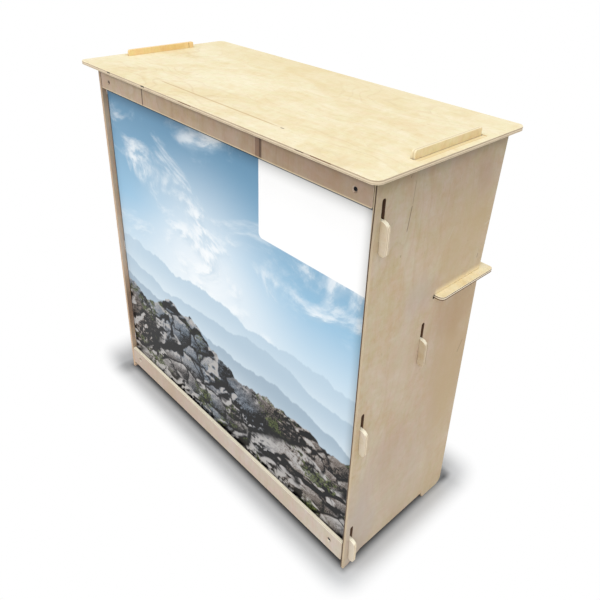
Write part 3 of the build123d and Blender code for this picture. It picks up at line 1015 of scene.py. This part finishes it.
def floor_material(stage):
    """Plain pale floor. Seen directly, in a reflection or through a clear piece it is white,
    with the counter's shadow near its footprint, partly real and partly painted, and a
    painted contact shadow at the walls.

    The distance from the footprint is the root of a a + b b, with a and b the lengths by
    which a point lies outside it along X and Y. On the left and behind, the sides away from
    the light, the lengths count for less, so the shadow reaches further. The painted contact
    shadow reads the distance from the nearest of three walls, the two sides and the front, and
    the open back has none. It grows from nearly black just inside a wall to its level outside
    it, and deep inside it grows to the plain floor. Near the open back, the floor between the
    feet is painted with shade like the floor outside them."""
    tree = Tree(bpy.data.materials.new("studio_floor"))
    x, y = tree.place()[:2]
    left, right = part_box("left_side_panel"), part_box("right_side_panel")
    half, front, back = right[1][X], left[0][Y], left[1][Y]
    from_side, from_front = tree.plus(tree.absolute(x), -half), tree.minus(front, y)
    past_side, past_front, past_back = (
        tree.positive(value) for value in (from_side, from_front, tree.plus(y, -back))
    )
    out_x = tree.times(past_side, tree.smooth(x, 0.02, -0.02, 1.0, FAR_SIDE_SHARE))
    away = tree.length(out_x, tree.plus(past_front, tree.times(past_back, BEHIND_SHARE)))

    to_side = tree.length(from_side, tree.plus(past_front, past_back))
    to_wall = tree.math("MINIMUM", to_side, tree.length(from_front, past_side))
    inward = tree.larger(from_side, from_front)
    signed = tree.mix(tree.math("GREATER_THAN", inward, 0.0), inward, to_wall)
    level = contact_level(tree, x, y, from_side, half, back)
    start, end = -0.8 * stage.contact_reach, stage.contact_reach
    near = tree.smooth(signed, start, end, CONTACT_BLACK, level)
    near = tree.plus(near, tree.smooth(signed, start, -DEEP_INSIDE, 0.0, 0.95))
    past_feet = tree.smooth(to_wall, start, end, CONTACT_BLACK, level)
    contact = tree.mix(tree.smooth(y, back - 0.06, back), near, past_feet)
    contact = tree.plus(contact, tree.smooth(away, 0.02, 0.06, 0.0, 0.07))

    grain = tree.noise(tree.spread(x, 400.0, y, 400.0), 2.0)
    relief = tree.bump(grain, 0.05 * MM)
    plain = tree.node("BsdfDiffuse", {0: stage.floor_colour, 2: relief}).outputs[0]
    shaded = tree.node("BsdfDiffuse", {0: tree.scaled((contact,) * 3, SHADOW_TINT)}).outputs[0]
    white = tree.node("Emission", {0: WHITE, 1: 1.0}).outputs[0]
    fade = tree.smooth(away, 0.2 * stage.shadow_reach, stage.shadow_reach)
    seen = tree.node("MixShader", {0: fade, 1: shaded, 2: white}).outputs[0]
    rays = tree.node("LightPath").outputs
    direct = tree.larger(rays["Is Camera Ray"], rays["Is Glossy Ray"])
    direct = tree.larger(direct, rays["Is Transmission Ray"])
    both = tree.node("MixShader", {0: direct, 1: plain, 2: seen}).outputs[0]
    tree.node("OutputMaterial", {0: both})
    return tree.owner


def grid_object(name, points):
    """A mesh object from a grid of points, an array of rows by columns by three. Each face
    joins four neighbours, and its first edge runs along a row."""
    rows, columns = points.shape[:2]
    number = np.arange(rows * columns).reshape(rows, columns)
    faces = np.stack((number[:-1, :-1], number[:-1, 1:], number[1:, 1:], number[1:, :-1]), axis=-1)
    mesh = bpy.data.meshes.new(name)
    mesh.from_pydata(points.reshape(-1, 3).tolist(), [], faces.reshape(-1, 4).tolist())
    made = bpy.data.objects.new(name, mesh)
    bpy.context.scene.collection.objects.link(made)
    return made


def make_world(level):
    """Even white light. Seen directly or through a clear piece the world is plain white."""
    world = bpy.data.worlds.new("studio_world")
    tree = Tree(world)
    rays = tree.node("LightPath").outputs
    seen = tree.larger(rays["Is Camera Ray"], rays["Is Transmission Ray"])
    even = tree.node("Background", {0: WHITE, 1: level}).outputs[0]
    white = tree.node("Background", {0: WHITE, 1: 1.0}).outputs[0]
    tree.node("OutputWorld", {0: tree.node("MixShader", {0: seen, 1: even, 2: white}).outputs[0]})
    bpy.context.scene.world = world


CAMERA_PLACE = (1.10649, -0.95076, 1.43128)
CAMERA_AZIMUTH = math.radians(45.69)
CAMERA_ELEVATION = math.radians(27.62)
CAMERA_ROLL = math.radians(-2.19)
SENSOR = 36.0
SHIFT = (-0.0138, -0.1188)
LAMP_TILT = (math.radians(27), math.radians(12), 0.0)


def make_camera(focal_length):
    """The camera at the photograph's viewing angle. It looks along
    f = (-sin a cos e, cos a cos e, -sin e); r is level and d is f x r, both turned by the roll."""
    a, e, roll = CAMERA_AZIMUTH, CAMERA_ELEVATION, CAMERA_ROLL
    forward = np.array((-math.sin(a) * math.cos(e), math.cos(a) * math.cos(e), -math.sin(e)))
    level = np.array((math.cos(a), math.sin(a), 0.0))
    down = np.cross(forward, level)
    right = level * math.cos(roll) + down * math.sin(roll)
    under = -level * math.sin(roll) + down * math.cos(roll)
    data = bpy.data.cameras.new("camera")
    data.sensor_width = SENSOR
    data.lens = focal_length
    data.shift_x, data.shift_y = SHIFT
    data.clip_start, data.clip_end = 0.05, 200.0
    camera = bpy.data.objects.new("camera", data)
    turned = Matrix(np.column_stack((right, -under, -forward)).tolist()).to_4x4()
    turned.translation = CAMERA_PLACE
    camera.matrix_world = turned
    bpy.context.scene.collection.objects.link(camera)
    bpy.context.scene.camera = camera


class COUNTER_OT_stage(bpy.types.Operator):
    """Add the floor, the soft light and the camera"""

    bl_idname = "counter.stage"
    bl_label = "Stage"

    def execute(self, context):
        stage = context.scene.counter_stage
        side = np.linspace(-stage.floor_half, stage.floor_half, 3)
        points = np.stack((*np.meshgrid(side, side), np.zeros((3, 3))), axis=-1)
        floor = grid_object("studio_floor", points)
        floor.data.materials.append(floor_material(stage))
        make_world(stage.sky_level)
        lamp = bpy.data.lights.new("ceiling_light", "SUN")
        lamp.energy = stage.lamp_level
        lamp.angle = stage.lamp_angle
        lamp_object = bpy.data.objects.new("ceiling_light", lamp)
        lamp_object.rotation_euler = LAMP_TILT
        context.scene.collection.objects.link(lamp_object)
        make_camera(stage.focal_length)
        context.scene.view_settings.view_transform = "Standard"
        return {"FINISHED"}


OPERATORS = (
    COUNTER_OT_top_panel,
    COUNTER_OT_side_panels,
    COUNTER_OT_front_board,
    COUNTER_OT_printed_sheet,
    COUNTER_OT_rails,
    COUNTER_OT_rail_fixings,
    COUNTER_OT_shelf,
    COUNTER_OT_cross_board,
    COUNTER_OT_stage,
)
SETTINGS = (
    ("counter_plywood", CounterPlywood),
    ("counter_print", CounterPrint),
    ("counter_fixings", CounterFixings),
    ("counter_stage", CounterStage),
)


class COUNTER_PT_steps(bpy.types.Panel):
    """The counter's finishes and its stage, in the order in which they are made"""

    bl_idname = "COUNTER_PT_steps"
    bl_label = "Plywood counter"
    bl_space_type = "VIEW_3D"
    bl_region_type = "UI"
    bl_category = "Counter"

    def draw(self, context):
        for operator in OPERATORS:
            self.layout.operator(operator.bl_idname)


CLASSES = (*(group for _, group in SETTINGS), *OPERATORS, COUNTER_PT_steps)


def register():
    """Registers the classes and hangs the settings on the scene."""
    for item in CLASSES:
        bpy.utils.register_class(item)
    for name, group in SETTINGS:
        setattr(bpy.types.Scene, name, PointerProperty(type=group))


def unregister():
    """Takes the settings off the scene and unregisters the classes."""
    for name, _ in SETTINGS:
        delattr(bpy.types.Scene, name)
    for item in reversed(CLASSES):
        bpy.utils.unregister_class(item)


def main():
    """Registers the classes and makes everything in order."""
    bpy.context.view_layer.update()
    register()
    for operator in OPERATORS:
        group, name = operator.bl_idname.split(".")
        getattr(getattr(bpy.ops, group), name)()


if __name__ == "__main__":
    main()
